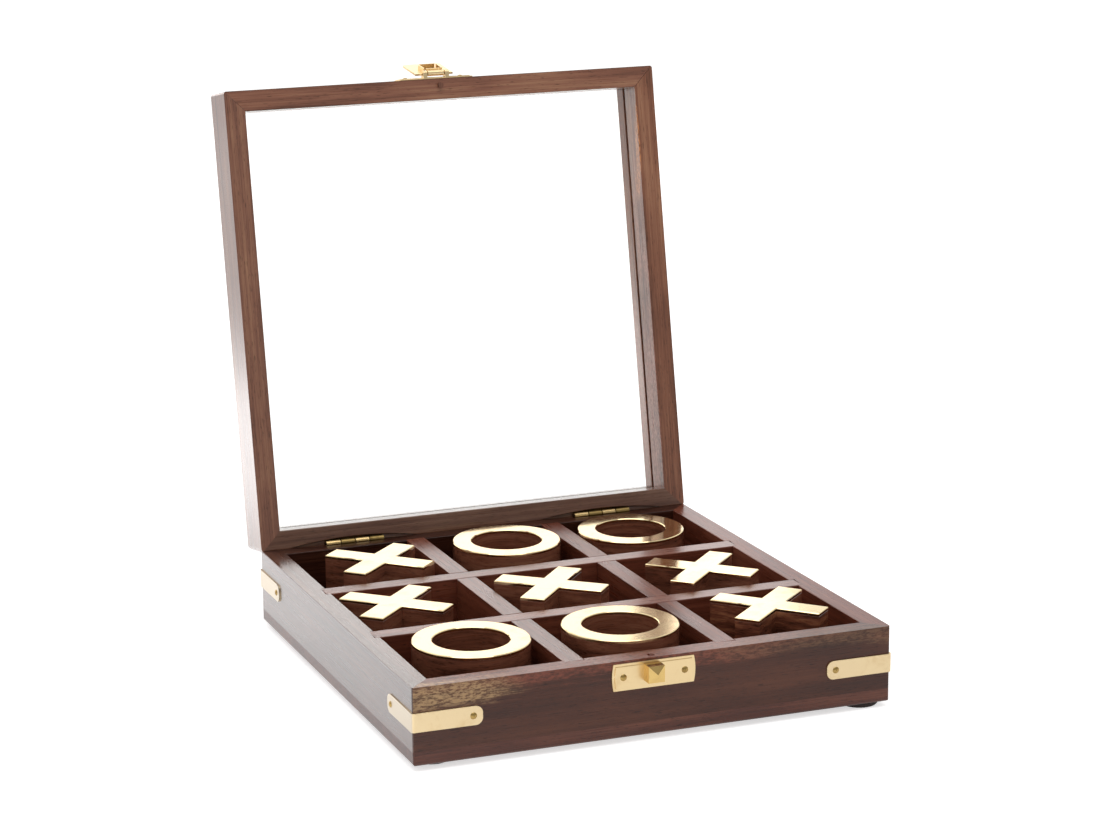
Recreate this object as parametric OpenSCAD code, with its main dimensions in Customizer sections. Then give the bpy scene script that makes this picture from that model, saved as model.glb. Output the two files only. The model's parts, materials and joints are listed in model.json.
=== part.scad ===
// Noughts and crosses in a wooden box with a hinged glass lid, nine loose pieces and brass fittings.
// Millimetres. +X is right, +Y is the hinge side, +Z is up. The lid is drawn open, as it stands in use.
// Every shape is drawn from the middle of the base board's underside. The whole is then stood with its
// feet on z = 0 and the middle of its outline, lid and all, over the origin.

/* [Box] */
// Outside width of the box
box_w = 190; // [170:1:240]
// Outside depth of the box, from the catch to the hinges
box_d = 190; // [170:1:240]
// Height of the base with its bottom board, without the feet
box_h = 29.8; // [25:0.1:45]
// Thickness of the four walls
wall_t = 8.6; // [7.5:0.1:11]
// Thickness of the bottom board
board_t = 5.4; // [3:0.1:7]
// Rounding of the upright outside corners
corner_r = 1; // [0.4:0.1:2]
// Rounding of the bottom edges
bottom_r = 1.5; // [0.5:0.1:2.5]

/* [Dividers] */
// Thickness of the four dividers
divider_t = 8.2; // [5:0.1:10]
// Depth that a divider's end is let into a wall
housing_depth = 2; // [1:0.1:4]

/* [Feet] */
// Diameter of a foot
foot_d = 15; // [10:0.5:18]
// Height of a foot
foot_h = 2; // [1.5:0.1:5]
// Distance from the side and from the front face to the middle of the front left foot
foot_left_inset = [11, 12.6]; // [8:0.1:16]
// The same for the front right foot
foot_right_inset = [8.4, 9.3]; // [8:0.1:16]
// The same from the side and the back for the two rear feet
foot_rear_inset = [10, 10]; // [8:0.1:16]
// Chamfer round a foot's lower edge
foot_chamfer = 0.5; // [0.2:0.1:0.8]

/* [Lid] */
// Depth of the lid frame, from its rim to its top
lid_h = 21.4; // [16:0.1:26]
// Width of the lid's rails and stiles
rail_w = 8.6; // [7.5:0.1:11]
// Angle from closed at which the lid stands open
open_angle = 100.6; // [95:0.1:115]
// Gap between the two rims when the lid is shut
rim_gap = 0.2; // [0.1:0.05:0.5]
// Rounding of the lid's edges
lid_r = 1; // [0.4:0.1:2]
// Rounding of the lid's two upright corners beside the hinges
lid_rear_r = 2.2; // [0.4:0.1:4]
// Rounding of the lid's top edge over the hinges
lid_back_r = 4; // [1:0.1:6]
// Thickness of the glass
glass_t = 2; // [1.5:0.1:3]
// Height of the glass above the lid's rim
glass_up = 12; // [9:0.1:14]
// Depth of the groove that holds the glass
groove_depth = 3.2; // [2:0.1:4.5]
// Room round the glass in its groove
glass_play = 0.2; // [0.1:0.05:0.4]

/* [Hinges] */
// Length of a hinge
hinge_len = 25; // [20:0.5:35]
// Distance from the box's side to a hinge's middle
hinge_end = 39.5; // [28:0.5:50]
// Distance of the middle of the pair of hinges from the middle of the box, to the right
hinge_shift = 0.8; // [-5:0.1:5]
// Distance from the back faces to the hinge pin
hinge_inset = 1; // [0.8:0.1:2]
// Outside diameter of a knuckle
knuckle_d = 2.8; // [2.4:0.1:3.6]
// Diameter of the hinge pin
hinge_pin_d = 1.4; // [1:0.1:1.6]
// Thickness of a leaf
leaf_t = 0.8; // [0.5:0.1:1.2]
// Length of a leaf into the wood, from the pin
leaf_len = 6.5; // [4:0.1:7]
// Gap between two knuckles
knuckle_gap = 0.5; // [0.1:0.05:0.7]
// Length of the shallow slot round a hinge
scoop_len = 54; // [45:1:70]
// How far the slot reaches in from the pin
scoop_reach = 2.2; // [1.8:0.1:3]
// Depth of the slot into each of the two rims
scoop_depth = 1.3; // [1:0.1:1.4]

/* [Brass straps] */
// Length of a strap's leg from the corner
strap_leg = 26.5; // [18:0.5:35]
// Width of a strap
strap_w = 7.2; // [6:0.1:9]
// Thickness of a strap
strap_t = 0.6; // [0.4:0.1:1.5]
// Rounding of a strap's ends
strap_end_r = 2.8; // [1:0.1:3]
// Height of the middle of the front left strap above the board's underside
strap_left_z = 16.7; // [12:0.1:20]
// Height of the middle of the front right strap above the board's underside
strap_right_z = 15.5; // [12:0.1:20]
// Height of the middle of the rear straps above the board's underside
strap_rear_z = 18.5; // [12:0.1:20]
// Distance from a strap's end to its nail
strap_nail_inset = 3.6; // [3:0.1:6]

/* [Nails] */
// Diameter of a nail's head
nail_head_d = 2.6; // [2:0.1:3.4]
// Height of a nail's domed head
nail_head_h = 0.6; // [0.3:0.1:0.9]
// Diameter of a nail's shank
nail_d = 1.2; // [0.8:0.1:1.6]
// Length of a nail's shank in the wood
nail_len = 5; // [3:0.1:6]

/* [Catch] */
// Distance of the catch plate from the middle of the box, to the right
catch_x = -1.8; // [-10:0.1:10]
// Distance of the stud and the whole hasp from the middle of the box, to the right
hasp_x = -2.7; // [-10:0.1:10]
// Length of a catch plate
plate_len = 33.1; // [28:0.1:40]
// Height of a catch plate
plate_h = 10.3; // [9:0.1:11]
// Thickness of a catch plate
plate_t = 0.8; // [0.6:0.05:1.2]
// How far the ends of a plate bow out
plate_bow = 0.6; // [0.3:0.1:1]
// Width of the stepped border of a plate
border_w = 1; // [0.6:0.1:1.4]
// Drop of the border below the face of a plate
border_drop = 0.35; // [0.2:0.05:0.4]
// Distance from the rim down to the catch plate
plate_drop = 1; // [0.5:0.1:2]
// Distance from a plate's middle to each of its nails
plate_nail_x = 12.2; // [11:0.1:13]
// Side of the square stud
stud_side = 6.4; // [5:0.1:7]
// Height of the stud's straight sides above its plate
stud_h = 4.4; // [3.6:0.1:5]
// Height of the stud's pointed head
stud_point = 1.3; // [0.6:0.1:2]
// Distance from the rim down to the middle of the stud
stud_drop = 5; // [4.8:0.1:6.5]
// Diameter of the stud's shank in the wall
stud_shank_d = 3; // [2:0.1:4]
// Length of the stud's shank in the wall
stud_shank_len = 4; // [3:0.1:6]

/* [Hasp] */
// Height of the hasp's pin above the lid's rim
hasp_up = 1.5; // [1.4:0.1:2]
// Distance of the hasp's pin from the lid's front face
hasp_out = 2.5; // [2.4:0.1:3.3]
// Length of the hasp's barrel
hasp_barrel_len = 11.4; // [10.5:0.1:14]
// Outside diameter of the hasp's knuckles
hasp_knuckle_d = 2.4; // [2.2:0.1:2.6]
// Diameter of the hasp's pin
hasp_pin_d = 1; // [0.8:0.1:1.2]
// Length of the flap's own knuckle
flap_knuckle_len = 7.4; // [6:0.1:8]
// Gap between two of the hasp's knuckles
hasp_gap = 0.4; // [0.1:0.05:0.6]
// Width of the flap
flap_w = 16.6; // [12:0.1:17]
// Length of the flap from the pin to its tip
flap_len = 18.6; // [15:0.1:22]
// Thickness of the flap
flap_t = 0.8; // [0.6:0.05:1]
// Rounding of the flap's tip
flap_tip_r = 1.5; // [0.5:0.1:3]
// Thickness of the collar round the flap's hole
collar_t = 0.5; // [0.4:0.05:0.8]
// Width of the slits at the collar's corners
collar_slit = 0.3; // [0.2:0.1:1]
// Angle from shut at which the flap lies turned back
hasp_angle = 163; // [150:1:170]
// Room between the stud and the flap
stud_play = 0.45; // [0.3:0.05:0.6]
// Extra room on the pin's side of the stud for the swing
swing_play = 0.9; // [0.85:0.05:1]

/* [Locating peg] */
// Distance of the peg from the middle of the box, to the right
peg_x = -1.6; // [-10:0.1:10]
// Diameter of the peg in the lid's rim
peg_d = 2.2; // [1.6:0.1:2.8]
// How far the peg stands out of the rim
peg_out = 1.5; // [1:0.1:2.5]
// Length of the peg inside the lid
peg_len = 5; // [3:0.1:8]
// Distance from the front face to the peg's middle
peg_inset = 2.8; // [2.6:0.1:4]
// Room round the peg in the base's hole
peg_play = 0.3; // [0.2:0.05:0.5]

/* [Pieces] */
// Free room between a piece and its compartment, both sides together
piece_room = 7.7; // [4:0.1:12]
// How far a piece stands above the rim
piece_rise = 2.8; // [0.5:0.1:5]
// Width of a cross's arms
arm_w = 9.9; // [6:0.1:14]
// Width of a ring's wall
ring_w = 7.7; // [5:0.1:11]
// Thickness of the brass top of a piece
cap_t = 1.2; // [0.8:0.1:2]
// Bevel round the edges of a brass top
cap_bevel = 0.3; // [0.1:0.05:0.5]
// Least gap between a piece and a compartment's wall
piece_gap = 0.4; // [0.3:0.1:0.8]
// Each piece: column, row, its shift right and back as shares of its free room, its turn, and how much shorter
// than the tallest it is cut
// Cross in the back left compartment
x_back_left = [0, 2, 0.67, -0.48, 44.8, 0];
// Cross in the middle left compartment
x_mid_left = [0, 1, -1, 0.95, 46, 2.4];
// Cross in the centre compartment
x_centre = [1, 1, -0.83, -0.28, 48.9, 0];
// Cross in the middle right compartment
x_mid_right = [2, 1, -0.26, -0.69, 45.5, 0];
// Cross in the front right compartment
x_front_right = [2, 0, 0.24, 0.18, 42.8, 0];
// Ring in the back centre compartment
o_back_centre = [1, 2, 0.27, 0.66, 0, 0];
// Ring in the back right compartment
o_back_right = [2, 2, -1, 1, 20, 1.5];
// Ring in the front left compartment
o_front_left = [0, 0, 0.46, 0.89, 0, 0];
// Ring in the front centre compartment
o_front_centre = [1, 0, -0.1, -0.02, 65, 0];

/* [Hidden] */
$fn = 64;
// Past any face, so that a cut has no skin left on it
over = 1;
// Radial room of a pin in its bores
pin_play = 0.03;
// Room of a leaf in its saw cut and of a knuckle in its groove
kerf_play = 0.05;
groove_play = 0.2;
// The straps keep a hair off the rounded corner of the wood
strap_ease = 0.2;
wood = "#5a3526";
dark_wood = "#4a2a20";
brass = "#d9be86";
old_brass = "#b39a68";

cell_w = (box_w - 2 * wall_t - 2 * divider_t) / 3;
cell_d = (box_d - 2 * wall_t - 2 * divider_t) / 3;
piece_w = min(cell_w, cell_d) - piece_room;
piece_h = box_h - board_t + piece_rise;
lid_z = box_h + rim_gap;
hinge_y = box_d / 2 - hinge_inset;
hinge_z = box_h + rim_gap / 2;
hinge_slot_r = knuckle_d / 2 + groove_play;
knuckle_pitch = hinge_len / 4;
hasp_y = -box_d / 2 - hasp_out;
hasp_z = lid_z + hasp_up;
hasp_r = hasp_knuckle_d / 2;
plate_z = box_h - plate_drop - plate_h / 2;
stud_z = box_h - stud_drop;
hole_u = hasp_z - stud_z;
flap_in = hasp_out + hasp_r - flap_t;
collar_h = flap_in - plate_t - 0.2;

// The outline runs from the stud's point to the open lid's upper edge
outline_front = -box_d / 2 - plate_t - stud_h - stud_point;
outline_rear = hinge_y - (box_d / 2 + hinge_y) * cos(open_angle) + (lid_z + lid_h - hinge_z) * sin(open_angle);

function hinge_x(side) = hinge_shift + side * (box_w / 2 - hinge_end);
function cell_x(column) = (column - 1) * (cell_w + divider_t);
function cell_y(row) = (row - 1) * (cell_d + divider_t);
// How far a cross's or a ring's edge reaches from its middle, along X and Y
function x_reach(turn) = piece_w / 2 * cos(turn % 90) + arm_w / 2 * sin(turn % 90);
function x_span(turn) = max(x_reach(turn), x_reach(90 - turn % 90));
// Height of a piece's wood, under its brass top
function wood_h(piece) = piece_h - piece[5] - cap_t;

// A flat shape drawn in Y and Z, drawn out along X from x0 to x1
module along_x(x0, x1) {
    translate([x0, 0, 0]) rotate([90, 0, 90]) linear_extrude(x1 - x0) children();
}

// What a quarter round takes off a square edge along X, whose corner is the origin and whose wood lies at -Y, -Z
module edge_cut(length, r) {
    along_x(-length / 2 - over, length / 2 + over)
        difference() {
            translate([-r, -r]) square(r + over);
            translate([-r, -r]) circle(r);
        }
}

// The cuts that round the four upright corners of a box of the size of this one
module upright_cuts(z0, z1, front_r, rear_r) {
    for (sx = [-1, 1], sy = [-1, 1]) {
        r = sy < 0 ? front_r : rear_r;
        translate([sx * box_w / 2, sy * box_d / 2, z0]) scale([sx, sy, 1]) linear_extrude(z1 - z0)
            difference() {
                translate([-r, -r]) square(r + over);
                translate([-r, -r]) circle(r);
            }
    }
}

// One side of a mitred frame, in plan: the side that lies at -Y
module mitred_side(w, d, t) {
    polygon([[-w / 2, -d / 2], [w / 2, -d / 2], [w / 2 - t, -d / 2 + t], [-w / 2 + t, -d / 2 + t]]);
}

// Places its child at the base's -Y, +Y, -X or +X side
module front_side(t, z0, z1) {
    translate([0, 0, z0]) linear_extrude(z1 - z0) mitred_side(box_w, box_d, t);
}
module rear_side(t, z0, z1) {
    rotate([0, 0, 180]) front_side(t, z0, z1);
}
module left_side(t, z0, z1) {
    translate([0, 0, z0]) linear_extrude(z1 - z0) rotate([0, 0, -90]) mitred_side(box_d, box_w, t);
}
module right_side(t, z0, z1) {
    rotate([0, 0, 180]) left_side(t, z0, z1);
}

// Stands the drawing on its feet, in the middle of its outline
module on_feet() {
    translate([0, -(outline_front + outline_rear) / 2, foot_h]) children();
}

// Turns the closed lid open about its hinge pins, and the shut flap back about its own pin
module open_lid() {
    on_feet() translate([0, hinge_y, hinge_z]) rotate([-open_angle, 0, 0]) translate([0, -hinge_y, -hinge_z]) children();
}
module turn_flap() {
    translate([0, hasp_y, hasp_z]) rotate([-hasp_angle, 0, 0]) children();
}

// Nail pointing into the wood at -Z, with its domed head on the plane z = 0
module nail(through) {
    cap_r = (pow(nail_head_d / 2, 2) + pow(nail_head_h, 2)) / (2 * nail_head_h);
    intersection() {
        translate([0, 0, nail_head_h - cap_r]) sphere(cap_r);
        cylinder(h = nail_head_h + over, d = nail_head_d);
    }
    translate([0, 0, -nail_len - through]) cylinder(h = nail_len + through + 0.1, d = nail_d);
}
module nail_hole(through) {
    translate([0, 0, -nail_len - through - kerf_play])
        cylinder(h = nail_len + through + over, d = nail_d + 2 * pin_play);
}

// Stands its child on the front face of the box: its Z points out of the face
module on_front(x, z, out) {
    translate([x, -box_d / 2 - out, z]) rotate([90, 0, 0]) children();
}

function strap_z(sx, sy) = sy > 0 ? strap_rear_z : sx > 0 ? strap_right_z : strap_left_z;

// The eight places of the strap nails
module at_strap_nails(out) {
    for (sx = [-1, 1], sy = [-1, 1]) {
        z = strap_z(sx, sy);
        reach = strap_leg - strap_nail_inset;
        translate([sx * (box_w / 2 - reach), sy * (box_d / 2 + out), z]) rotate([-sy * 90, 0, 0]) children();
        translate([sx * (box_w / 2 + out), sy * (box_d / 2 - reach), z]) rotate([0, sx * 90, 0]) children();
    }
}

module at_plate_nails(x, z, out) {
    for (side = [-1, 1]) on_front(x + side * plate_nail_x, z, out) children();
}

// Base

module base_board() {
    color(wood) on_feet() difference() {
        translate([-box_w / 2, -box_d / 2, 0]) cube([box_w, box_d, board_t]);
        upright_cuts(-over, board_t + over, corner_r, corner_r);
        for (turn = [0, 180]) rotate([0, 0, turn]) {
            translate([0, box_d / 2, 0]) scale([1, 1, -1]) edge_cut(box_w, bottom_r);
            translate([box_w / 2, 0, 0]) scale([1, 1, -1]) rotate([0, 0, -90]) edge_cut(box_d, bottom_r);
        }
    }
}

// What the hinges take out of the rear wall, and of the lid's rear rail with up = 1:
// a shallow arched slot that both rims share, the knuckles' groove and the saw cuts for the leaves
module hinge_cuts(up) {
    scoop_r = (pow(scoop_len / 2, 2) + pow(scoop_reach, 2)) / (2 * scoop_reach);
    for (side = [-1, 1])
        translate([hinge_x(side), hinge_y + scoop_r - scoop_reach, box_h - scoop_depth])
            cylinder(h = rim_gap + 2 * scoop_depth, r = scoop_r, $fn = 256);
    for (side = [-1, 1])
        translate([hinge_x(side), hinge_y, hinge_z]) {
            along_x(-hinge_len / 2 - groove_play, hinge_len / 2 + groove_play) circle(hinge_slot_r);
            rotate([-up * 45, 0, 0])
                translate([-hinge_len / 2 - kerf_play, -leaf_len - kerf_play, -leaf_t / 2 - kerf_play])
                    cube([hinge_len + 2 * kerf_play, leaf_len + kerf_play, leaf_t + 2 * kerf_play]);
        }
}

// The bevels behind the hinge pins: they meet and stop the lid when it is open
module stop_bevel(up) {
    slope = tan(open_angle / 2 + 0.1);
    reach = hinge_inset + over;
    along_x(-box_w / 2 - over, box_w / 2 + over)
        polygon([
            [hinge_y, hinge_z], [hinge_y, hinge_z - up * over],
            [hinge_y + reach, hinge_z - up * over], [hinge_y + reach, hinge_z + up * reach * slope]
        ]);
}

module dividers_plan(grow) {
    for (k = [0, 1]) {
        translate([cell_x(k) + cell_w / 2 - grow, -box_d / 2 + wall_t - housing_depth - grow])
            square([divider_t + 2 * grow, box_d - 2 * wall_t + 2 * housing_depth + 2 * grow]);
        translate([-box_w / 2 + wall_t - housing_depth - grow, cell_y(k) + cell_d / 2 - grow])
            square([box_w - 2 * wall_t + 2 * housing_depth + 2 * grow, divider_t + 2 * grow]);
    }
}

module wall_cuts() {
    upright_cuts(0, box_h + over, corner_r, corner_r);
    at_strap_nails(0) nail_hole(0);
    translate([0, 0, board_t - over]) linear_extrude(box_h) dividers_plan(0);
}

module front_wall() {
    color(wood) on_feet() difference() {
        front_side(wall_t, board_t, box_h);
        wall_cuts();
        at_plate_nails(catch_x, plate_z, 0) nail_hole(0);
        on_front(hasp_x, stud_z, 0) translate([0, 0, -stud_shank_len - kerf_play])
            cylinder(h = stud_shank_len + over, d = stud_shank_d + 2 * pin_play);
        translate([peg_x, -box_d / 2 + peg_inset, box_h - peg_out - peg_play])
            cylinder(h = peg_out + peg_play + over, d = peg_d + 2 * peg_play);
    }
}

module rear_wall() {
    color(wood) on_feet() difference() {
        rear_side(wall_t, board_t, box_h);
        wall_cuts();
        hinge_cuts(-1);
        stop_bevel(-1);
    }
}

module left_wall() {
    color(wood) on_feet() difference() {
        left_side(wall_t, board_t, box_h);
        wall_cuts();
        stop_bevel(-1);
    }
}

module right_wall() {
    color(wood) on_feet() difference() {
        right_side(wall_t, board_t, box_h);
        wall_cuts();
        stop_bevel(-1);
    }
}

// Divider from front to back, halved from above where the cross dividers pass
module long_divider(k) {
    length = box_d - 2 * wall_t + 2 * housing_depth;
    half = (box_h - board_t) / 2;
    color(dark_wood) on_feet() difference() {
        translate([cell_x(k) + cell_w / 2, -length / 2, board_t]) cube([divider_t, length, 2 * half]);
        for (row = [0, 1])
            translate([cell_x(k), cell_y(row) + cell_d / 2, board_t + half]) cube([cell_w, divider_t, half + over]);
    }
}

// Divider from left to right, halved from below
module cross_divider(k) {
    length = box_w - 2 * wall_t + 2 * housing_depth;
    half = (box_h - board_t) / 2;
    color(dark_wood) on_feet() difference() {
        translate([-length / 2, cell_y(k) + cell_d / 2, board_t]) cube([length, divider_t, 2 * half]);
        for (column = [0, 1])
            translate([cell_x(column) + cell_w / 2, cell_y(k), board_t - over])
                cube([divider_t, cell_d, half + over]);
    }
}

module foot(sx, sy, inset) {
    color("#2e2622") on_feet() translate([sx * (box_w / 2 - inset[0]), sy * (box_d / 2 - inset[1]), -foot_h])
        rotate_extrude() polygon([
            [0, 0], [foot_d / 2 - foot_chamfer, 0], [foot_d / 2, foot_chamfer],
            [foot_d / 2, foot_h], [0, foot_h]
        ]);
}

// One leg of a strap, flat in X and Y: it runs to the right from the corner
module strap_leg_plan() {
    start = corner_r - strap_ease;
    translate([start, -strap_w / 2]) square([strap_leg - strap_end_r - start, strap_w]);
    translate([start, -strap_w / 2 + strap_end_r]) square([strap_leg - start, strap_w - 2 * strap_end_r]);
    for (side = [-1, 1])
        translate([strap_leg - strap_end_r, side * (strap_w / 2 - strap_end_r)]) circle(strap_end_r);
}

module strap(sx, sy) {
    bend_r = corner_r - strap_ease;
    color(brass) on_feet() difference() {
        translate([sx * box_w / 2, sy * box_d / 2, strap_z(sx, sy)]) scale([-sx, sy, 1]) {
            rotate([-90, 0, 0]) linear_extrude(strap_t) strap_leg_plan();
            mirror([1, 0, 0]) rotate([-90, 0, -90]) linear_extrude(strap_t) strap_leg_plan();
            translate([bend_r, -bend_r, -strap_w / 2]) intersection() {
                difference() {
                    cylinder(h = strap_w, r = bend_r + strap_t);
                    translate([0, 0, -over]) cylinder(h = strap_w + 2 * over, r = bend_r);
                }
                translate([-bend_r - strap_t, 0, 0]) cube([bend_r + strap_t, bend_r + strap_t, strap_w]);
            }
        }
        at_strap_nails(strap_t) nail_hole(strap_t);
    }
}

module strap_nails() {
    color(old_brass) on_feet() at_strap_nails(strap_t) nail(strap_t);
}

// Plate with bowed ends and a stepped border, flat in X and Y with its back on z = 0
module stepped_plate() {
    linear_extrude(plate_t - border_drop) plate_plan(0);
    linear_extrude(plate_t) plate_plan(border_w);
}
module plate_plan(inset) {
    bow_r = (pow(plate_h / 2, 2) + pow(plate_bow, 2)) / (2 * plate_bow);
    intersection() {
        square([plate_len - 2 * inset, plate_h - 2 * inset], center = true);
        translate([bow_r - plate_len / 2, 0]) circle(bow_r - inset, $fn = 128);
        translate([plate_len / 2 - bow_r, 0]) circle(bow_r - inset, $fn = 128);
    }
}

module catch_plate() {
    color(brass) on_feet() difference() {
        on_front(catch_x, plate_z, 0) stepped_plate();
        at_plate_nails(catch_x, plate_z, plate_t) nail_hole(plate_t);
        on_front(hasp_x, stud_z, 0) translate([0, 0, -over])
            cylinder(h = plate_t + 2 * over, d = stud_shank_d + 2 * pin_play);
    }
}

// Square stud with a four-sided point: two roof shapes crossed
module catch_stud() {
    profile = [
        [-stud_side / 2, 0], [stud_side / 2, 0], [stud_side / 2, stud_h],
        [0, stud_h + stud_point], [-stud_side / 2, stud_h]
    ];
    color(brass) on_feet() on_front(hasp_x, stud_z, plate_t) {
        intersection() {
            rotate([90, 0, 0]) linear_extrude(stud_side, center = true) polygon(profile);
            rotate([90, 0, 90]) linear_extrude(stud_side, center = true) polygon(profile);
        }
        translate([0, 0, -plate_t - stud_shank_len]) cylinder(h = plate_t + stud_shank_len + 0.1, d = stud_shank_d);
    }
}

module catch_nails() {
    color(old_brass) on_feet() at_plate_nails(catch_x, plate_z, plate_t) nail(plate_t);
}

// Hinges

// Leaf with two of the hinge's four knuckles, its plate pointing to -Y from the pin on X
module hinge_leaf(first) {
    difference() {
        union() {
            translate([-hinge_len / 2, -leaf_len, -leaf_t / 2]) cube([hinge_len, leaf_len, leaf_t]);
            for (k = [first, first + 2]) knuckle_span(k) circle(d = knuckle_d);
        }
        for (k = [1 - first, 3 - first])
            along_x(knuckle_x(k) - (k > 0 ? knuckle_gap / 2 : over),
                    knuckle_x(k + 1) + (k < 3 ? knuckle_gap / 2 : over)) circle(hinge_slot_r);
        along_x(-hinge_len, hinge_len) circle(d = hinge_pin_d + 2 * pin_play);
    }
}
function knuckle_x(k) = -hinge_len / 2 + k * knuckle_pitch;
module knuckle_span(k) {
    along_x(knuckle_x(k) + (k > 0 ? knuckle_gap / 2 : 0), knuckle_x(k + 1) - (k < 3 ? knuckle_gap / 2 : 0))
        children();
}

module hinge_base_leaf(side) {
    color(brass) on_feet() translate([hinge_x(side), hinge_y, hinge_z]) rotate([45, 0, 0]) hinge_leaf(0);
}

module hinge_lid_leaf(side) {
    color(brass) open_lid() translate([hinge_x(side), hinge_y, hinge_z]) rotate([-45, 0, 0])
        hinge_leaf(1);
}

module hinge_pin(side) {
    color(old_brass) on_feet() translate([hinge_x(side), hinge_y, hinge_z])
        along_x(-hinge_len / 2, hinge_len / 2) circle(d = hinge_pin_d);
}

// Lid, drawn closed and then turned open

module lid_cuts() {
    top = lid_z + lid_h;
    pane_w = box_w - 2 * rail_w + 2 * groove_depth;
    pane_d = box_d - 2 * rail_w + 2 * groove_depth;
    upright_cuts(lid_z - over, top + over, lid_r, lid_rear_r);
    translate([0, box_d / 2, top]) edge_cut(box_w, lid_back_r);
    translate([0, -box_d / 2, top]) scale([1, -1, 1]) edge_cut(box_w, lid_r);
    for (side = [-1, 1])
        translate([side * box_w / 2, 0, top]) scale([side, 1, 1]) rotate([0, 0, -90]) edge_cut(box_d, lid_r);
    translate([-pane_w / 2, -pane_d / 2, lid_z + glass_up]) cube([pane_w, pane_d, glass_t + 2 * glass_play]);
    stop_bevel(1);
}

module lid_front_rail() {
    color(wood) open_lid() difference() {
        front_side(rail_w, lid_z, lid_z + lid_h);
        lid_cuts();
        at_plate_nails(hasp_x, hasp_plate_z(), 0) nail_hole(0);
        translate([peg_x, -box_d / 2 + peg_inset, lid_z - over])
            cylinder(h = peg_len + kerf_play + over, d = peg_d + 2 * pin_play);
    }
}

module lid_rear_rail() {
    color(wood) open_lid() difference() {
        rear_side(rail_w, lid_z, lid_z + lid_h);
        lid_cuts();
        hinge_cuts(1);
    }
}

module lid_left_stile() {
    color(wood) open_lid() difference() {
        left_side(rail_w, lid_z, lid_z + lid_h);
        lid_cuts();
    }
}

module lid_right_stile() {
    color(wood) open_lid() difference() {
        right_side(rail_w, lid_z, lid_z + lid_h);
        lid_cuts();
    }
}

module lid_glass() {
    w = box_w - 2 * rail_w + 2 * (groove_depth - glass_play);
    d = box_d - 2 * rail_w + 2 * (groove_depth - glass_play);
    color("#cfe3e0", 0.35) open_lid()
        translate([-w / 2, -d / 2, lid_z + glass_up + glass_play]) cube([w, d, glass_t]);
}

module locating_peg() {
    color(dark_wood) open_lid() translate([peg_x, -box_d / 2 + peg_inset, lid_z - peg_out])
        cylinder(h = peg_out + peg_len, d = peg_d);
}

// Hasp, drawn shut and then turned back and up with the lid

function hasp_plate_z() = hasp_z - hasp_r + plate_h / 2;

// Where the turned flap's root comes nearest its plate: the web ends there and stops it
function stop_out() = hasp_r * cos(hasp_angle) + (hasp_r + groove_play) * sin(hasp_angle) - 0.1;

module hasp_plate() {
    web_end = hasp_r + 0.4;
    color(brass) open_lid() difference() {
        union() {
            on_front(hasp_x, hasp_plate_z(), 0) stepped_plate();
            translate([hasp_x, hasp_y, hasp_z]) for (side = [-1, 1]) scale([side, 1, 1]) {
                along_x(flap_knuckle_len / 2 + hasp_gap / 2, hasp_barrel_len / 2) {
                    circle(hasp_r);
                    polygon([
                        [hasp_out - border_drop, -hasp_r], [hasp_out - border_drop, web_end],
                        [-stop_out(), web_end], [-stop_out(), 0], [0, 0], [0, -hasp_r]
                    ]);
                }
            }
        }
        translate([hasp_x, hasp_y, hasp_z]) along_x(-hasp_barrel_len, hasp_barrel_len)
            circle(d = hasp_pin_d + 2 * pin_play);
        at_plate_nails(hasp_x, hasp_plate_z(), plate_t) nail_hole(plate_t);
    }
}

module hasp_nails() {
    color(old_brass) open_lid() at_plate_nails(hasp_x, hasp_plate_z(), plate_t) nail(plate_t);
}

module hasp_pin() {
    color(old_brass) open_lid() translate([hasp_x, hasp_y, hasp_z])
        along_x(-hasp_barrel_len / 2, hasp_barrel_len / 2) circle(d = hasp_pin_d);
}

// Flap drawn shut: it hangs to -Z from the pin on X, and its collar points to the box at +Y
module flap_shape() {
    root = hasp_r + groove_play;
    near = hole_u - stud_side / 2 - swing_play;
    far = hole_u + stud_side / 2 + stud_play;
    half = stud_side / 2 + stud_play;
    difference() {
        union() {
            translate([0, -hasp_r + flap_t, 0]) rotate([90, 0, 0]) linear_extrude(flap_t) difference() {
                union() {
                    translate([-flap_w / 2, -flap_len + flap_tip_r]) square([flap_w, flap_len - flap_tip_r - root]);
                    translate([-flap_w / 2 + flap_tip_r, -flap_len]) square([flap_w - 2 * flap_tip_r, flap_tip_r * 2]);
                    for (side = [-1, 1])
                        translate([side * (flap_w / 2 - flap_tip_r), -flap_len + flap_tip_r]) circle(flap_tip_r);
                    translate([-flap_knuckle_len / 2 + hasp_gap / 2, -root - over])
                        square([flap_knuckle_len - hasp_gap, root + over]);
                }
                translate([-half, -far]) square([2 * half, far - near]);
            }
            along_x(-flap_knuckle_len / 2 + hasp_gap / 2, flap_knuckle_len / 2 - hasp_gap / 2) circle(hasp_r);
            translate([0, -hasp_r + flap_t - 0.1, 0]) collar(near, far, half);
        }
        along_x(-hasp_barrel_len, hasp_barrel_len) circle(d = hasp_pin_d + 2 * pin_play);
    }
}

// Four upright walls round the flap's hole, slit at the corners
module collar(near, far, half) {
    height = collar_h + 0.1;
    for (side = [-1, 1])
        translate([side * (half + collar_t / 2), height / 2, -(near + far) / 2])
            cube([collar_t, height, far - near - 2 * collar_slit], center = true);
    for (z = [-near + collar_t / 2, -far - collar_t / 2])
        translate([0, height / 2, z]) cube([2 * half - 2 * collar_slit, height, collar_t], center = true);
}

module hasp_flap() {
    color(brass) open_lid() translate([hasp_x, 0, 0]) turn_flap() flap_shape();
}

// Pieces

module stand(piece, span_x, span_y, z) {
    room_x = cell_w / 2 - span_x - piece_gap;
    room_y = cell_d / 2 - span_y - piece_gap;
    translate([cell_x(piece[0]) + piece[2] * room_x, cell_y(piece[1]) + piece[3] * room_y, z])
        rotate([0, 0, piece[4]]) children();
}

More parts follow.
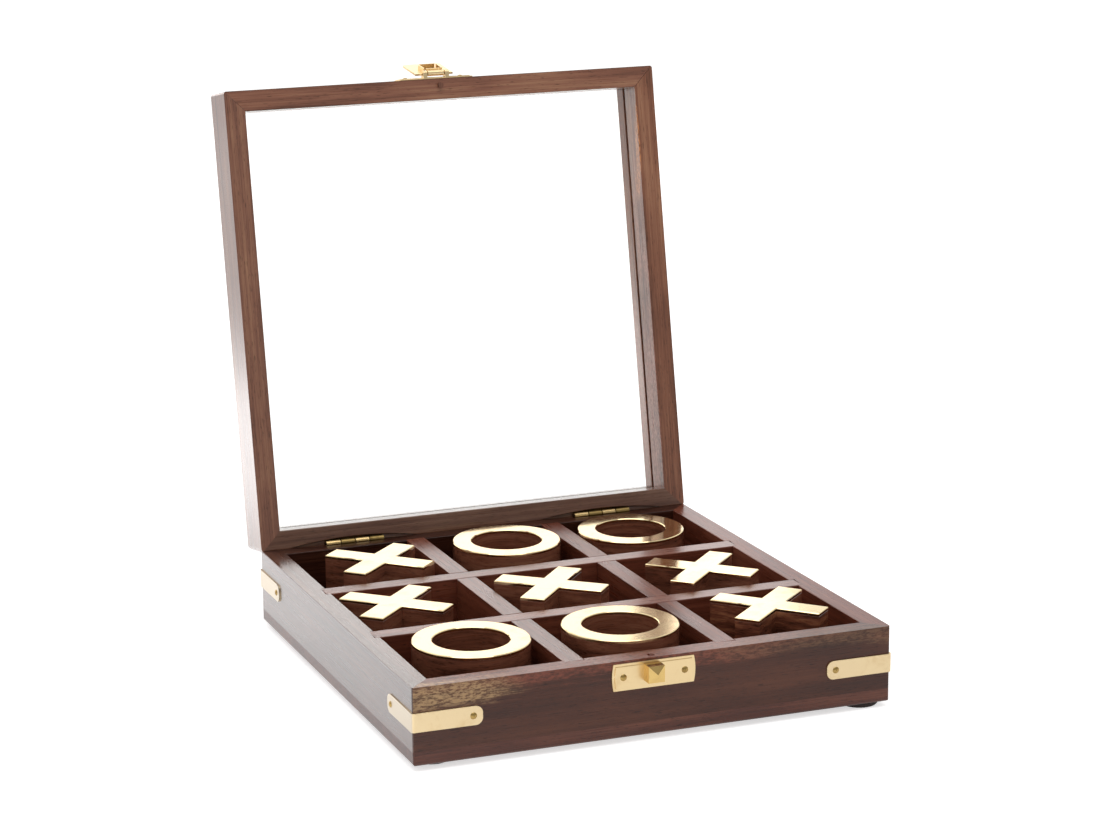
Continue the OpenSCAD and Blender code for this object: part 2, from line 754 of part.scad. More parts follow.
module cross_plan() {
    square([piece_w, arm_w], center = true);
    square([arm_w, piece_w], center = true);
}

module cross_body(piece) {
    color(dark_wood) on_feet() stand(piece, x_span(piece[4]), x_span(piece[4]), board_t)
        linear_extrude(wood_h(piece)) cross_plan();
}

// Side view of a bar of the cross's brass top, w wide, with its two upper edges bevelled
module bevelled(w) {
    polygon([
        [-w / 2, 0], [w / 2, 0], [w / 2, cap_t - cap_bevel], [w / 2 - cap_bevel, cap_t],
        [cap_bevel - w / 2, cap_t], [-w / 2, cap_t - cap_bevel]
    ]);
}

module cross_cap(piece) {
    color(brass) on_feet() stand(piece, x_span(piece[4]), x_span(piece[4]), board_t + wood_h(piece))
        for (turn = [0, 90]) rotate([0, 0, turn]) intersection() {
            along_x(-piece_w / 2, piece_w / 2) bevelled(arm_w);
            rotate([0, 0, 90]) along_x(-arm_w / 2, arm_w / 2) bevelled(piece_w);
        }
}

// Ring of height h with its upper edges bevelled
module ring(h, bevel) {
    outer = piece_w / 2;
    inner = outer - ring_w;
    rotate_extrude() polygon([
        [inner, 0], [outer, 0], [outer, h - bevel], [outer - bevel, h], [inner + bevel, h], [inner, h - bevel]
    ]);
}

module ring_body(piece) {
    color(dark_wood) on_feet() stand(piece, piece_w / 2, piece_w / 2, board_t) ring(wood_h(piece), 0);
}

module ring_cap(piece) {
    color(brass) on_feet() stand(piece, piece_w / 2, piece_w / 2, board_t + wood_h(piece)) ring(cap_t, cap_bevel);
}

base_board();
front_wall();
rear_wall();
left_wall();
right_wall();
long_divider(0);  // divider_left
long_divider(1);  // divider_right
cross_divider(0);  // divider_front
cross_divider(1);  // divider_rear
foot(-1, -1, foot_left_inset);  // foot_front_left
foot(1, -1, foot_right_inset);  // foot_front_right
foot(-1, 1, foot_rear_inset);  // foot_rear_left
foot(1, 1, foot_rear_inset);  // foot_rear_right
strap(-1, -1);  // strap_front_left
strap(1, -1);  // strap_front_right
strap(-1, 1);  // strap_rear_left
strap(1, 1);  // strap_rear_right
strap_nails();
catch_plate();
catch_stud();
catch_nails();
hinge_base_leaf(-1);  // left_hinge_base_leaf
hinge_base_leaf(1);  // right_hinge_base_leaf
hinge_pin(-1);  // left_hinge_pin
hinge_pin(1);  // right_hinge_pin
lid_front_rail();
lid_rear_rail();
lid_left_stile();
lid_right_stile();
lid_glass();
hinge_lid_leaf(-1);  // left_hinge_lid_leaf
hinge_lid_leaf(1);  // right_hinge_lid_leaf
locating_peg();
hasp_plate();
hasp_nails();
hasp_pin();
hasp_flap();
cross_body(x_back_left);  // x_back_left_body
cross_cap(x_back_left);  // x_back_left_cap
cross_body(x_mid_left);  // x_mid_left_body
cross_cap(x_mid_left);  // x_mid_left_cap
cross_body(x_centre);  // x_centre_body
cross_cap(x_centre);  // x_centre_cap
cross_body(x_mid_right);  // x_mid_right_body
cross_cap(x_mid_right);  // x_mid_right_cap
cross_body(x_front_right);  // x_front_right_body
cross_cap(x_front_right);  // x_front_right_cap
ring_body(o_back_centre);  // o_back_centre_body
ring_cap(o_back_centre);  // o_back_centre_cap
ring_body(o_back_right);  // o_back_right_body
ring_cap(o_back_right);  // o_back_right_cap
ring_body(o_front_left);  // o_front_left_body
ring_cap(o_front_left);  // o_front_left_cap
ring_body(o_front_centre);  // o_front_centre_body
ring_cap(o_front_centre);  // o_front_centre_cap
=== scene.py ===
import json
import math
import bmesh
import bpy
from mathutils import Euler, Matrix, Vector

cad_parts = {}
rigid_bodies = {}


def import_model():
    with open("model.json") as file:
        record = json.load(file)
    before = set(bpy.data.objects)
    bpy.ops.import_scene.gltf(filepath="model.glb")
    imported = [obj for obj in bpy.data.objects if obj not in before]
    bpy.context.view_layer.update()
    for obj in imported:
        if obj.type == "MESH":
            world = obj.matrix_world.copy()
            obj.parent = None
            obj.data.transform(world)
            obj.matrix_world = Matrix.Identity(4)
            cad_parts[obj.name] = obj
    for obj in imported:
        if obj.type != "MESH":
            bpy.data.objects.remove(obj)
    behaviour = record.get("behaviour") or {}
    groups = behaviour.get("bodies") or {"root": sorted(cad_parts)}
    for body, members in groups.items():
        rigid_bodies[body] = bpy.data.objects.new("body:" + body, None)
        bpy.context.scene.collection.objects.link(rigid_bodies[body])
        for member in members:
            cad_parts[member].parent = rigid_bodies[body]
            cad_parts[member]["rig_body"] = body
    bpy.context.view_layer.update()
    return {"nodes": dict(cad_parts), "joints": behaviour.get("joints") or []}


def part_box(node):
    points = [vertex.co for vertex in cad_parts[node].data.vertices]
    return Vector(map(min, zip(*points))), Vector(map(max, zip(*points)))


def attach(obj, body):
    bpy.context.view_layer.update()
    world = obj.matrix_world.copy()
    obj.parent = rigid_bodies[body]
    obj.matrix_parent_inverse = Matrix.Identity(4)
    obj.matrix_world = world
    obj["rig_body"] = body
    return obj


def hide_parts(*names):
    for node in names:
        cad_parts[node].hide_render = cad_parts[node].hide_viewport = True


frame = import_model()
SCENE = bpy.context.scene
MM = 0.001


def colour(code):
    """An sRGB hex colour as the linear RGBA that shaders work in, by the sRGB standard's own curve."""
    parts = [int(code[place:place + 2], 16) / 255 for place in (1, 3, 5)]
    return [part / 12.92 if part <= 0.04045 else ((part + 0.055) / 1.055) ** 2.4 for part in parts] + [1.0]


def add(tree, kind, settings=None, **inputs):
    """Adds one node. An input is a number, a colour or the socket that feeds it; _0 means input 0.
    The setting stops gives a colour ramp its colours, as (place, hex or grey)."""
    node = tree.nodes.new(kind)
    for name, value in (settings or {}).items():
        if name == "stops":
            elements = node.color_ramp.elements
            while len(elements) < len(value):
                elements.new(1.0)
            for element, (place, tone) in zip(elements, value):
                element.position = place
                element.color = colour(tone) if isinstance(tone, str) else (tone, tone, tone, 1.0)
        else:
            setattr(node, name, value)
    for name, value in inputs.items():
        socket = node.inputs[int(name[1:])] if name[0] == "_" else node.inputs[name.replace("_", " ")]
        if isinstance(value, bpy.types.NodeSocket):
            tree.links.new(value, socket)
        else:
            socket.default_value = value
    return node


def new_material(name):
    """A material without nodes, and its tree."""
    material = bpy.data.materials.new(name)
    material.use_nodes = True
    material.node_tree.nodes.clear()
    return material, material.node_tree


# Camera: a 99 mm lens 1.2 m off at the front left and 0.38 m up, turned and shifted to the photograph's
# framing; places in metres, turns in degrees
CAMERA_AT = (-0.423971, -1.088187, 0.377852)
CAMERA_TURN = (76.39475, 0.90336, -19.8633)
camera = bpy.data.objects.new("studio_camera", bpy.data.cameras.new("studio_camera"))
camera.data.sensor_width = 36
camera.data.lens = 99.284
camera.data.shift_x = 0.0886
camera.data.shift_y = 0.0054
camera.data.clip_end = 30
camera_turn = Euler([math.radians(angle) for angle in CAMERA_TURN])
camera.matrix_world = Matrix.LocRotScale(CAMERA_AT, camera_turn, None)
SCENE.collection.objects.link(camera)
SCENE.camera = camera


# Sheesham, stained red-brown under a thin satin lacquer: bands of tone, dark streaks, fine fibres and short
# dark pores, with a clear skin that turns pale where the eye skims along it. The fibres and pores are a
# little coarser than the real ones, so that they show.

# Length of each pattern along the grain and width across it in mm, then its noise's detail, roughness and
# distortion
GRAIN_PATTERNS = {
    "bands": (143, 11.76, 3.0, 0.55, 0.2),
    "streaks": (90.9, 2.0, 4.0, 0.6, 0.15),
    "fibres": (16.67, 0.3125, 2.0, 0.5, 0.0),
    "pores": (3.3333, 0.33333, 1.0, 0.4, 0.0),
    "blotches": (45.45, 20.0, 3.0, 0.6, 0.0),
    "specks": (2.0, 0.625, 3.0, 0.7, 0.0)}
# How much the patterns count in the wood's tone; the bands and streaks share the first between them
GROWTH_SHARE = 0.9
FIBRE_SHARE = 0.24
BLOTCH_SHARE = 0.3
# How far each pattern moves the edge of a worn patch, in shares of the patch's reach
RAGGEDNESS = {"blotches": -2.2, "streaks": -1.6, "fibres": -0.8}
# A pore's colour, how fully it shows, and its depth against the height of a fibre
PORE_TONE = "#140806"
PORE_DARKNESS = 0.5
PORE_DEPTH = -1.6


def stained_sheesham(name, turn, shift, tones, streak=0.5, gloss=0.6, sink=0.5, flat=1.0, worn=()):
    """turn lays the grain along the piece, in degrees, and shift is the piece's place in the log, in mm.
    tones run from dark to light. streak is the streaks' share of the tone, gloss how full the lacquer lies
    and sink how much of it stays in the pores. flat below 1 widens the growth rings to level layers. The
    last argument lists patches of another colour, thin stain and also painted light where a lit face or a
    sheen
    is painted in: middle and reach in mm, colour and strength."""
    material, tree = new_material(name)
    place = add(tree, "ShaderNodeTexCoord").outputs["Object"]
    grain = add(tree, "ShaderNodeMapping", Vector=place, Scale=(1 / MM, flat / MM, 1 / MM),
                Rotation=[math.radians(angle) for angle in turn], Location=shift).outputs[0]
    noise = {}
    for pattern, (length, width, detail, roughness, distortion) in GRAIN_PATTERNS.items():
        at = add(tree, "ShaderNodeMapping", Vector=grain,
                 Scale=(1 / length, 1 / width, 1 / width)).outputs[0]
        noise[pattern] = add(tree, "ShaderNodeTexNoise", Vector=at, Scale=1.0, Detail=detail,
                             Roughness=roughness, Distortion=distortion).outputs[0]
    tone = 0.0
    for pattern, share in (("bands", GROWTH_SHARE - streak), ("streaks", streak), ("fibres", FIBRE_SHARE),
                           ("blotches", BLOTCH_SHARE)):
        tone = add(tree, "ShaderNodeMath", {"operation": "MULTIPLY_ADD"}, _0=noise[pattern], _1=share,
                   _2=tone).outputs[0]
    shade = add(tree, "ShaderNodeMapRange", Value=tone, From_Min=0.50, From_Max=0.95).outputs[0]
    stops = list(zip((0.0, 0.5, 1.0), tones))
    wood = add(tree, "ShaderNodeValToRGB", {"stops": stops}, Fac=shade).outputs[0]
    # a patch has a ragged edge and shows in specks: on thin stain where sandpaper broke through it, and
    # the same on a patch of painted light
    speckling = add(tree, "ShaderNodeMapRange", {"interpolation_type": "SMOOTHSTEP"}, Value=noise["specks"],
                 From_Min=0.38, From_Max=0.6, To_Min=0.15, To_Max=1.0).outputs[0]
    for middle, reach, patch_tone, strength in worn:
        away = add(tree, "ShaderNodeVectorMath", {"operation": "SUBTRACT"}, _0=place,
                   _1=[distance * MM for distance in middle]).outputs[0]
        shares = add(tree, "ShaderNodeVectorMath", {"operation": "MULTIPLY"}, _0=away,
                     _1=[1 / (distance * MM) for distance in reach]).outputs[0]
        edge = add(tree, "ShaderNodeVectorMath", {"operation": "LENGTH"}, _0=shares).outputs["Value"]
        for pattern, bite in RAGGEDNESS.items():
            edge = add(tree, "ShaderNodeMath", {"operation": "MULTIPLY_ADD"}, _0=noise[pattern], _1=bite,
                       _2=edge).outputs[0]
        patch = add(tree, "ShaderNodeMapRange", {"interpolation_type": "SMOOTHSTEP"}, Value=edge,
                    From_Min=-0.9, From_Max=-1.7, To_Max=strength).outputs[0]
        patch = add(tree, "ShaderNodeMath", {"operation": "MULTIPLY"}, _0=patch, _1=speckling).outputs[0]
        wood = add(tree, "ShaderNodeMix", {"data_type": "RGBA"}, _0=patch, _6=wood,
                   _7=colour(patch_tone)).outputs[2]
    pores = add(tree, "ShaderNodeMapRange", {"interpolation_type": "SMOOTHSTEP"}, Value=noise["pores"],
                From_Min=0.64, From_Max=0.72).outputs[0]
    pitted = add(tree, "ShaderNodeMath", {"operation": "MULTIPLY"}, _0=pores, _1=PORE_DARKNESS).outputs[0]
    wood = add(tree, "ShaderNodeMix", {"data_type": "RGBA"}, _0=pitted, _6=wood,
               _7=colour(PORE_TONE)).outputs[2]
    rough = add(tree, "ShaderNodeMapRange", Value=noise["fibres"], From_Min=0.3, From_Max=0.7, To_Min=0.26,
                To_Max=0.36).outputs[0]
    relief = add(tree, "ShaderNodeMath", {"operation": "MULTIPLY_ADD"}, _0=pores, _1=PORE_DEPTH,
                 _2=noise["fibres"]).outputs[0]
    bump = add(tree, "ShaderNodeBump", Height=relief, Strength=0.12, Distance=0.05 * MM).outputs[0]
    # the lacquer has sunk into the pores, so that they stay dark where the rest shines
    lacquer = add(tree, "ShaderNodeMapRange", Value=pores, To_Min=gloss, To_Max=sink * gloss).outputs[0]
    skin = add(tree, "ShaderNodeBsdfPrincipled", Base_Color=wood, Roughness=rough, Normal=bump, IOR=1.4,
               Coat_Weight=lacquer, Coat_Roughness=0.18, Coat_IOR=1.4)
    add(tree, "ShaderNodeOutputMaterial", Surface=skin.outputs[0])
    return material


# Cut and filed sheet brass, polished on a cloth wheel: a pale gold mirror with hair scratches one way
# and a few brown bruises. Sizes in mm; the scratches are coarser than the real ones, so that they show.
SCRATCH_LENGTH = 5.556
SCRATCH_WIDTH = 0.2
BRUISE_WIDTH = 9.09
# Grey painted on the straps' legs on the box's left side: a painted reflection
GRAZING_REFLECTION_GREY = "#cbbfac"
# How much rougher the brass is in a scratch
SCRATCHED = 0.08


def polished_brass(name, tint, bruise, bruising, shine, turn=0, shift=(0, 0, 0), scratch=0.1, grazing_grey=False):
    """bruising is how fully the bruise colour shows, shine the lowest roughness and scratch the strength of
    the scratches, which turn lays across the piece, in degrees. The last argument paints grey, a painted
    reflection, over what is on the box's left."""
    material, tree = new_material(name)
    place = add(tree, "ShaderNodeTexCoord").outputs["Object"]
    rubbing = add(tree, "ShaderNodeMapping", Vector=place, Scale=(1 / MM, 1 / MM, 1 / MM),
                  Rotation=(0, 0, math.radians(turn)), Location=shift).outputs[0]
    hair_at = add(tree, "ShaderNodeMapping", Vector=rubbing,
                  Scale=(1 / SCRATCH_LENGTH, 1 / SCRATCH_WIDTH, 1 / SCRATCH_WIDTH)).outputs[0]
    hair = add(tree, "ShaderNodeTexNoise", Vector=hair_at, Scale=1.0, Detail=2.0, Roughness=0.6).outputs[0]
    cloud = add(tree, "ShaderNodeTexNoise", Vector=rubbing, Scale=1 / BRUISE_WIDTH, Detail=4.0,
                Roughness=0.65, Distortion=0.5).outputs[0]
    stain = add(tree, "ShaderNodeMapRange", {"interpolation_type": "SMOOTHSTEP"}, Value=cloud, From_Min=0.48,
                From_Max=0.72, To_Max=bruising).outputs[0]
    gold = add(tree, "ShaderNodeMix", {"data_type": "RGBA"}, _0=stain, _6=colour(tint),
               _7=colour(bruise)).outputs[2]
    if grazing_grey:
        # the legs on the box's left side are painted grey, a painted reflection of what they see at a
        # grazing angle
        left_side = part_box("left_wall")[0][0]
        across = add(tree, "ShaderNodeSeparateXYZ", Vector=place).outputs["X"]
        on_left_face = add(tree, "ShaderNodeMapRange", Value=across, From_Min=left_side - 0.1 * MM,
                   From_Max=left_side - 0.3 * MM).outputs[0]
        gold = add(tree, "ShaderNodeMix", {"data_type": "RGBA"}, _0=on_left_face, _6=gold,
                   _7=colour(GRAZING_REFLECTION_GREY)).outputs[2]
    rough = add(tree, "ShaderNodeMapRange", Value=hair, From_Min=0.3, From_Max=0.7, To_Min=shine,
                To_Max=shine + SCRATCHED).outputs[0]
    bump = add(tree, "ShaderNodeBump", Height=hair, Strength=scratch, Distance=0.02 * MM).outputs[0]
    metal = add(tree, "ShaderNodeBsdfPrincipled", Base_Color=gold, Metallic=1.0, Roughness=rough,
                Normal=bump)
    add(tree, "ShaderNodeOutputMaterial", Surface=metal.outputs[0])
    return material


# Float glass: clear and nearly flawless, with wipe marks some 40 mm across that only just blur it
def float_glass():
    material, tree = new_material("float_glass")
    place = add(tree, "ShaderNodeTexCoord").outputs["Object"]
    haze = add(tree, "ShaderNodeTexNoise", Vector=place, Scale=1 / (40 * MM), Detail=3.0).outputs[0]
    rough = add(tree, "ShaderNodeMapRange", Value=haze, To_Min=0.0, To_Max=0.02).outputs[0]
    pane = add(tree, "ShaderNodeBsdfPrincipled", Base_Color=colour("#fdfffe"), Roughness=rough, IOR=1.5,
               Transmission_Weight=1.0)
    add(tree, "ShaderNodeOutputMaterial", Surface=pane.outputs[0])
    return material


# Moulded rubber: nearly black and dull, with a grain of 0.56 mm
def moulded_rubber():
    material, tree = new_material("moulded_rubber")
    place = add(tree, "ShaderNodeTexCoord").outputs["Object"]
    grit = add(tree, "ShaderNodeTexNoise", Vector=place, Scale=1 / (0.5556 * MM), Detail=2.0).outputs[0]
    tone = add(tree, "ShaderNodeValToRGB", {"stops": [(0.3, "#1a0d09"), (0.7, "#2c1711")]},
               Fac=grit).outputs[0]
    bump = add(tree, "ShaderNodeBump", Height=grit, Strength=0.2, Distance=0.1 * MM).outputs[0]
    skin = add(tree, "ShaderNodeBsdfPrincipled", Base_Color=tone, Roughness=0.6, Normal=bump, IOR=1.5)
    add(tree, "ShaderNodeOutputMaterial", Surface=skin.outputs[0])
    return material


# In a CAD mesh, points this close are one and triangles this flat to each other are one face. Edges sharper
# than the first angle are eased, and edges blunter than the second shade round.
SAME_POINT = 0.002 * MM
SAME_FACE = math.radians(0.4)
SHARP_EDGE = math.radians(35)
ROUND_EDGE = math.radians(25)


def on_mitre(edge):
    """Whether the edge borders a face that is cut at 45 degrees across the width."""
    return any(abs(abs(face.normal.x) - math.sqrt(0.5)) < 0.01 for face in edge.link_faces)


def worked(node, material, ease=0.0, shortest=2.5, tight=True):
    """The CAD node's own shape with its triangles joined into whole faces and its sharp edges, from shortest
    mm up, eased by so many mm, as sandpaper or a file leaves them. A tight mitre shows no line."""
    cad = frame["nodes"][node]
    mesh = cad.data.copy()
    shape = bmesh.new()
    shape.from_mesh(mesh)
    bmesh.ops.remove_doubles(shape, verts=shape.verts, dist=SAME_POINT)
    bmesh.ops.dissolve_limit(shape, angle_limit=SAME_FACE, verts=shape.verts, edges=shape.edges)
    if ease:
        shape.normal_update()
        sharp = [edge for edge in shape.edges
                 if len(edge.link_faces) == 2 and edge.calc_length() > shortest * MM
                 and edge.calc_face_angle(0) > SHARP_EDGE and not (tight and on_mitre(edge))]
        bmesh.ops.bevel(shape, geom=sharp, offset=ease * MM, offset_type="OFFSET", segments=2, profile=0.5,
                        affect="EDGES", material=-1, clamp_overlap=False)
    for face in shape.faces:
        face.smooth = True
    shape.to_mesh(mesh)
    shape.free()
    mesh.set_sharp_from_angle(angle=ROUND_EDGE)
    mesh.materials.clear()
    mesh.materials.append(material)
    piece = bpy.data.objects.new(node + "_finished", mesh)
    SCENE.collection.objects.link(piece)
    # the large faces keep their own direction, so that they shine flat
    flats = piece.modifiers.new("flats", "WEIGHTED_NORMAL")
    flats.keep_sharp = True
    flats.weight = 100
    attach(piece, cad["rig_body"])
    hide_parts(node)


def wooden(node, slot, ease, tight=True, **finish):
    """A wooden piece in stained sheesham of its own."""
    worked(node, stained_sheesham(node + "_sheesham", **finish), ease, tight=tight)


# Ways of the grain, in degrees: along the box's width, along its depth, and up the lid as it stands open
LID_OPEN = -next(joint["range_deg"][0] for joint in frame["joints"] if joint["name"] == "lid_hinge")
ALONG_X, ALONG_Y, UP_LID = (0, 0, 0), (0, 0, -90), (LID_OPEN - 180, 0, -90)
# Stains, from dark to light
BOARD_TONES = ("#2b1009", "#582a1c", "#7a4632")
FRONT_WALL_TONES = ("#32170e", "#4f2819", "#663925")
REAR_WALL_TONES = ("#1a0a06", "#371a10", "#553020")
LEFT_WALL_TONES = ("#241009", "#4d2a1d", "#704632")
RIGHT_WALL_TONES = ("#3c180d", "#743b2a", "#935a44")
DIVIDER_TONES = ("#401b10", "#703a29", "#90563f")
FRONT_RAIL_TONES = ("#4a291c", "#8a5944", "#b38564")
REAR_RAIL_TONES = ("#33190f", "#64402f", "#82604c")
LID_TONES = ("#43261a", "#80523e", "#a97b5c")
RIGHT_STILE_TONES = ("#4b291b", "#85543d", "#b18061")
PIECE_TONES = ("#401f14", "#7d4a36", "#9b684f")
STREAKY_TONES = ("#1c0b06", "#7a4531", "#b57a55")
# Edges in mm, as sandpaper eases them on the walls and the lid, on boards and dividers, and on loose pieces
WALL_EDGE = 0.35
BOARD_EDGE = 0.3
PIECE_EDGE = 0.2
# Patches along the top of the front wall: red in the middle, thin stain that is also painted sheen lighting
# the rim; pale to the left and brown to the right
FRONT_WALL_SHEEN_AND_WEAR = (
    ((-12, -117, 31.5), (102, 9, 4.5), "#94503c", 0.75),
    ((-82, -119.5, 28), (24, 5, 4.5), "#b8946a", 1.0),
    ((78, -119, 30), (46, 6, 3.5), "#7d5a40", 0.7))
# Patches on the right stile: painted light over its face towards the opening, as light from the left falls
# on it, and orange thin stain on that face's edge high up
RIGHT_STILE_LIGHT_AND_WEAR = (
    ((85.9, 82, 75), (0.9, 30, 105), "#b47a68", 0.95),
    ((86.4, 99.4, 188), (0.5, 2.5, 22), "#d88f5a", 0.9))

# Box
wooden("base_board", "box_wood", BOARD_EDGE, turn=ALONG_X, shift=(7, 40, 3), tones=BOARD_TONES, gloss=0.35)
wooden("front_wall", "box_wood", WALL_EDGE, turn=ALONG_X, shift=(300, 12, 5), tones=FRONT_WALL_TONES,
       streak=0.35, gloss=0.18, worn=FRONT_WALL_SHEEN_AND_WEAR)
wooden("rear_wall", "box_wood", WALL_EDGE, turn=ALONG_X, shift=(80, 77, 31), tones=REAR_WALL_TONES,
       gloss=0.1)
wooden("left_wall", "box_wood", WALL_EDGE, turn=ALONG_Y, shift=(510, 3, 19), tones=LEFT_WALL_TONES,
       gloss=1.0, sink=0.95)
wooden("right_wall", "box_wood", WALL_EDGE, turn=ALONG_Y, shift=(610, 28, 9), tones=RIGHT_WALL_TONES,
       gloss=0.2)
for number, (divider, turn, gloss) in enumerate((
        ("divider_left", ALONG_Y, 0.5), ("divider_right", ALONG_Y, 0.2),
        ("divider_front", ALONG_X, 0.5), ("divider_rear", ALONG_X, 0.5))):
    wooden(divider, "dark_wood", BOARD_EDGE, turn=turn, shift=(40 + 170 * number, 21, 60),
           tones=DIVIDER_TONES, gloss=gloss)
rubber = moulded_rubber()
CORNERS = ("front_left", "front_right", "rear_left", "rear_right")
for corner in CORNERS:
    worked("foot_" + corner, rubber)

# Lid
wooden("lid_front_rail", "box_wood", BOARD_EDGE, tight=False, turn=ALONG_X, shift=(21, 140, 2),
       tones=FRONT_RAIL_TONES)
wooden("lid_rear_rail", "box_wood", WALL_EDGE, turn=ALONG_X, shift=(221, 14, 90), tones=REAR_RAIL_TONES)
wooden("lid_left_stile", "box_wood", WALL_EDGE, turn=UP_LID, shift=(31, 14, 55), tones=LID_TONES, gloss=1.0)
wooden("lid_right_stile", "box_wood", WALL_EDGE, turn=UP_LID, shift=(431, 64, 15), tones=RIGHT_STILE_TONES,
       gloss=0.55, worn=RIGHT_STILE_LIGHT_AND_WEAR)
wooden("locating_peg", "dark_wood", 0.0, turn=UP_LID, shift=(5, 5, 5), tones=LID_TONES)
pane = frame["nodes"]["lid_glass"]
pane.data.materials.clear()
pane.data.materials.append(float_glass())

# Brass fittings
# the straps' legs on the box's left side are painted grey as a painted reflection
strap_brass = polished_brass("rolled_brass", "#e7d0a6", "#c09a60", bruising=0.3, shine=0.3, grazing_grey=True)
plate_brass = polished_brass("stamped_brass", "#eed4a4", "#c29a58", bruising=0.2, shine=0.3, shift=(9, 3, 1))
nail_brass = polished_brass("drawn_brass", "#b3955a", "#6f5630", bruising=0.7, shine=0.25)
stud_brass = polished_brass("filed_brass", "#dfbd78", "#8a6228", bruising=0.6, shine=0.12, shift=(2, 8, 4))
pin_brass = polished_brass("tarnished_brass", "#6b5732", "#43351d", bruising=0.7, shine=0.35)
hinge_brass = polished_brass("pressed_brass", "#d2b680", "#7f6434", bruising=0.5, shine=0.2, shift=(4, 1, 6))
# The lid leaf is painted darker than the base leaf: painted shade on its knuckles
leaf_brass = polished_brass("lid_leaf_shaded_brass", "#97804f", "#54421f", bruising=0.6, shine=0.3, shift=(8, 5, 2))
for corner in CORNERS:
    worked("strap_" + corner, strap_brass, ease=0.18, shortest=1.5)
for plate in ("catch_plate", "hasp_plate", "hasp_flap"):
    worked(plate, plate_brass, ease=0.1, shortest=1.5)
worked("catch_stud", stud_brass)
for nails in ("strap_nails", "catch_nails", "hasp_nails", "hasp_pin"):
    worked(nails, nail_brass)
for side in ("left", "right"):
    worked(side + "_hinge_base_leaf", hinge_brass)
    worked(side + "_hinge_lid_leaf", leaf_brass)
    worked(side + "_hinge_pin", pin_brass)

# Loose pieces, each with scratches its own way: one cross has strong streaks, and one ring's brass is duller
# from rubbing
for number, piece in enumerate(("x_back_left", "x_mid_left", "x_centre", "x_mid_right", "x_front_right",
                                "o_back_centre", "o_back_right", "o_front_left", "o_front_centre")):
    streaky = piece == "x_front_right"
    wooden(piece + "_body", "dark_wood", PIECE_EDGE, turn=ALONG_X, shift=(97 * number, 55, 8),
           tones=STREAKY_TONES if streaky else PIECE_TONES, streak=0.9 if streaky else 0.7, gloss=0.85,
           flat=0.15)
    top = polished_brass(piece + "_brass", "#f4dfae", "#c8935a", bruising=0.3,
                         shine=0.16 if piece == "o_front_centre" else 0.08, turn=30 + 37 * number,
                         shift=(13 * number, 4, 2), scratch=0.05)
    worked(piece + "_cap", top)


# Studio: a white sweep under a white room, with two soft lamps
def is_ray(tree, *kinds):
    """1 for rays of these kinds and 0 for all others."""
    path = add(tree, "ShaderNodeLightPath")
    shown = path.outputs[kinds[0]]
    for kind in kinds[1:]:
        shown = add(tree, "ShaderNodeMath", {"operation": "MAXIMUM"}, _0=shown,
                    _1=path.outputs[kind]).outputs[0]
    return shown


# The room's strength as light on the object, and as metal and glass show it in front of the box and behind
ROOM_LIGHT = 0.55
ROOM_IN_FRONT = 0.45
ROOM_BEHIND = 1.0
SCENE.world = bpy.data.worlds.new("white_studio")
SCENE.world.use_nodes = True
tree = SCENE.world.node_tree
tree.nodes.clear()
looking = add(tree, "ShaderNodeSeparateXYZ", Vector=add(tree, "ShaderNodeTexCoord").outputs["Generated"])
room = add(tree, "ShaderNodeMapRange", {"interpolation_type": "SMOOTHSTEP"}, Value=looking.outputs["Y"],
           From_Min=-0.5, From_Max=0.3, To_Min=ROOM_IN_FRONT, To_Max=ROOM_BEHIND).outputs[0]
mirrored = add(tree, "ShaderNodeMix", _0=is_ray(tree, "Is Glossy Ray", "Is Transmission Ray"), _2=ROOM_LIGHT,
               _3=room).outputs[0]
white = add(tree, "ShaderNodeMix", _0=is_ray(tree, "Is Camera Ray"), _2=mirrored, _3=1.0).outputs[0]
light = add(tree, "ShaderNodeBackground", Color=(1, 1, 1, 1), Strength=white)
add(tree, "ShaderNodeOutputWorld", Surface=light.outputs[0])

# What polished faces see of the sweep, a glow painted in for reflections only, by how far back and to the
# left a spot lies, in metres: dim in front of the box, brightest 0.6 m behind it and dark beyond
SWEEP_SHINE = ((-0.158, 0.17), (0.066, 0.38), (0.318, 0.53), (0.43, 0.85),
               (0.64, 1.0), (0.78, 0.45), (0.962, 0.1), (1.13, 0.08))
SWEEP_NEAR = -0.2
SWEEP_FAR = 1.2
SHINE_STRENGTH = 1.8
# What the eye sees on top of the lit paper, so that it turns white and still keeps a shadow
SWEEP_LIFT = 0.62
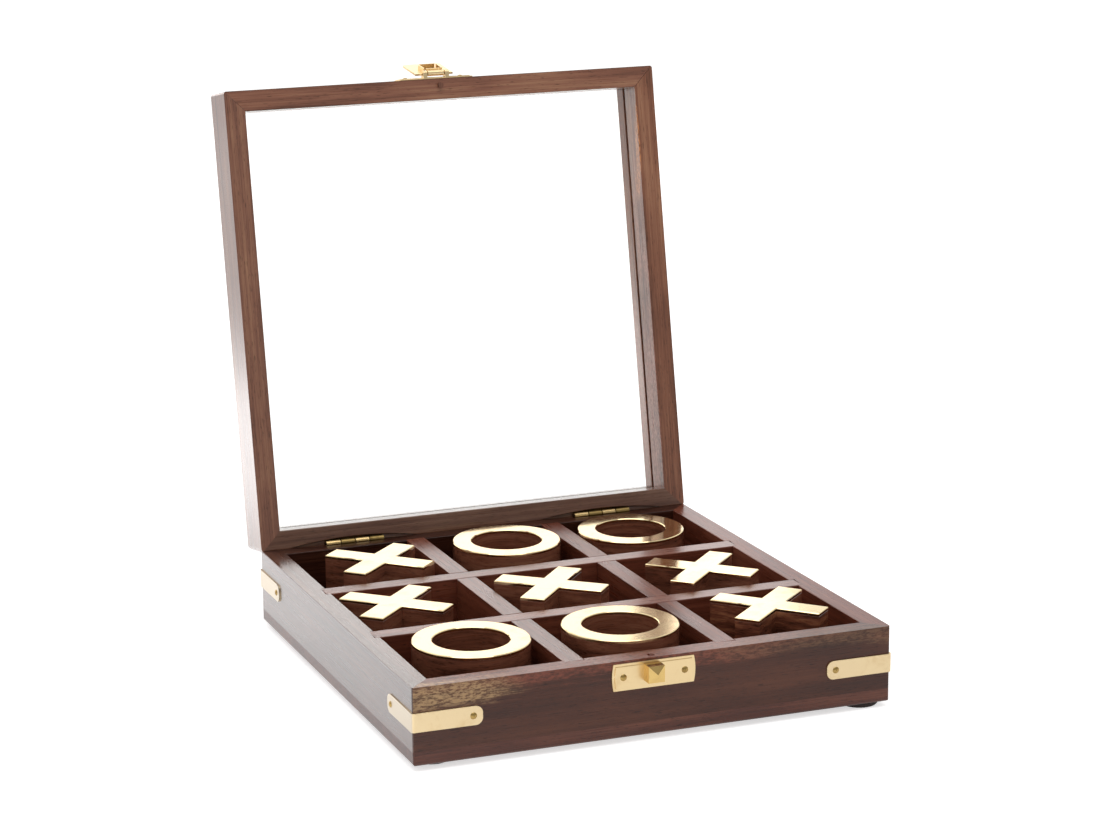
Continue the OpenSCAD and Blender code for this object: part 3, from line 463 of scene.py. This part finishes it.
# Half the sweep's width, in metres
SWEEP_REACH = 6
shape = bmesh.new()
bmesh.ops.create_grid(shape, x_segments=1, y_segments=1, size=SWEEP_REACH)
floor_mesh = bpy.data.meshes.new("floor")
shape.to_mesh(floor_mesh)
shape.free()
floor = bpy.data.objects.new("floor", floor_mesh)
SCENE.collection.objects.link(floor)
sweep, tree = new_material("white_sweep")
paper = add(tree, "ShaderNodeBsdfDiffuse", Color=(0.85, 0.85, 0.85, 1))
spot = add(tree, "ShaderNodeSeparateXYZ", Vector=add(tree, "ShaderNodeTexCoord").outputs["Object"])
back = add(tree, "ShaderNodeMath", {"operation": "SUBTRACT"}, _0=spot.outputs["Y"],
           _1=spot.outputs["X"]).outputs[0]
along = add(tree, "ShaderNodeMapRange", Value=back, From_Min=SWEEP_NEAR, From_Max=SWEEP_FAR).outputs[0]
stops = [((distance - SWEEP_NEAR) / (SWEEP_FAR - SWEEP_NEAR), grey) for distance, grey in SWEEP_SHINE]
shine = add(tree, "ShaderNodeValToRGB", {"stops": stops}, Fac=along).outputs[0]
shine = add(tree, "ShaderNodeMath", {"operation": "MULTIPLY"}, _0=shine, _1=SHINE_STRENGTH).outputs[0]
mirrored = add(tree, "ShaderNodeMix", _0=is_ray(tree, "Is Glossy Ray"), _2=0.0, _3=shine).outputs[0]
lift = add(tree, "ShaderNodeMix", _0=is_ray(tree, "Is Camera Ray", "Is Transmission Ray"), _2=mirrored,
           _3=SWEEP_LIFT).outputs[0]
glow = add(tree, "ShaderNodeEmission", Color=(1, 1, 1, 1), Strength=lift)
both = add(tree, "ShaderNodeAddShader", _0=paper.outputs[0], _1=glow.outputs[0])
add(tree, "ShaderNodeOutputMaterial", Surface=both.outputs[0])
floor_mesh.materials.append(sweep)


def soft_box(name, at, towards, size, watts, tint="#ffffff"):
    """A lamp of that width and height in metres, which lights the object but isn't seen itself."""
    lamp = bpy.data.lights.new(name, "AREA")
    lamp.shape = "RECTANGLE"
    lamp.size, lamp.size_y = size
    lamp.energy = watts
    lamp.color = colour(tint)[:3]
    box = bpy.data.objects.new(name, lamp)
    SCENE.collection.objects.link(box)
    box.location = at
    box.rotation_euler = (Vector(towards) - Vector(at)).to_track_quat("-Z", "Y").to_euler()
    box.visible_camera = False


soft_box("overhead", at=(-0.1, -0.3, 1.3), towards=(0, 0, 0), size=(1.2, 1.0), watts=7)
soft_box("backdrop", at=(-0.35, 1.5, 0.55), towards=(-0.35, 0, 0.4), size=(2.4, 1.0), watts=7.5,
         tint="#fff4f0")

SCENE.view_settings.view_transform = "Standard"
